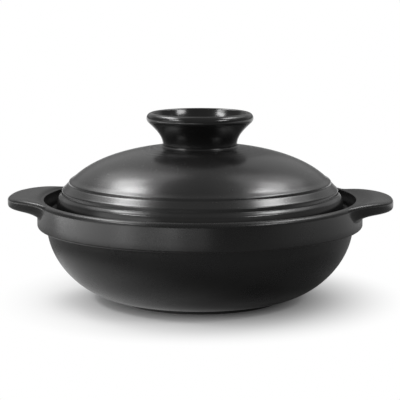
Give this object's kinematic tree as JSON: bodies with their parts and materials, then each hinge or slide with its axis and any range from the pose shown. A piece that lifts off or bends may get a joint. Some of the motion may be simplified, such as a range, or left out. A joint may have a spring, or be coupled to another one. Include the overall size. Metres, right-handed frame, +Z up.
{
  "type": "ceramic cooking pot",
  "caption": "Shallow round stoneware cooking pot with a rim band, two ear handles and a sunk domed lid that lifts off by a flared hollow knob.",
  "frame": {"origin": "middle of the foot ring, on the surface the pot stands on", "axes": "+Z up through the knob, +X to the handle on the right in the picture, +Y away from the camera"},
  "size_m": [0.2732, 0.23, 0.1323],
  "materials": {
    "pot_glaze": "satin",
    "handle_glaze": "satin",
    "lid_glaze": "satin",
    "knob_glaze": "satin"
  },
  "bodies": {
    "pot": {"pot_body": "pot_glaze", "right_handle": "handle_glaze", "left_handle": "handle_glaze"},
    "lid": {"lid_dome": "lid_glaze", "lid_knob": "knob_glaze"}
  },
  "joints": [
    {"name": "lid_lift", "type": "slide", "parent": "pot", "child": "lid", "axis": [0, 0, 1], "range_m": [0, 0.12]}
  ]
}
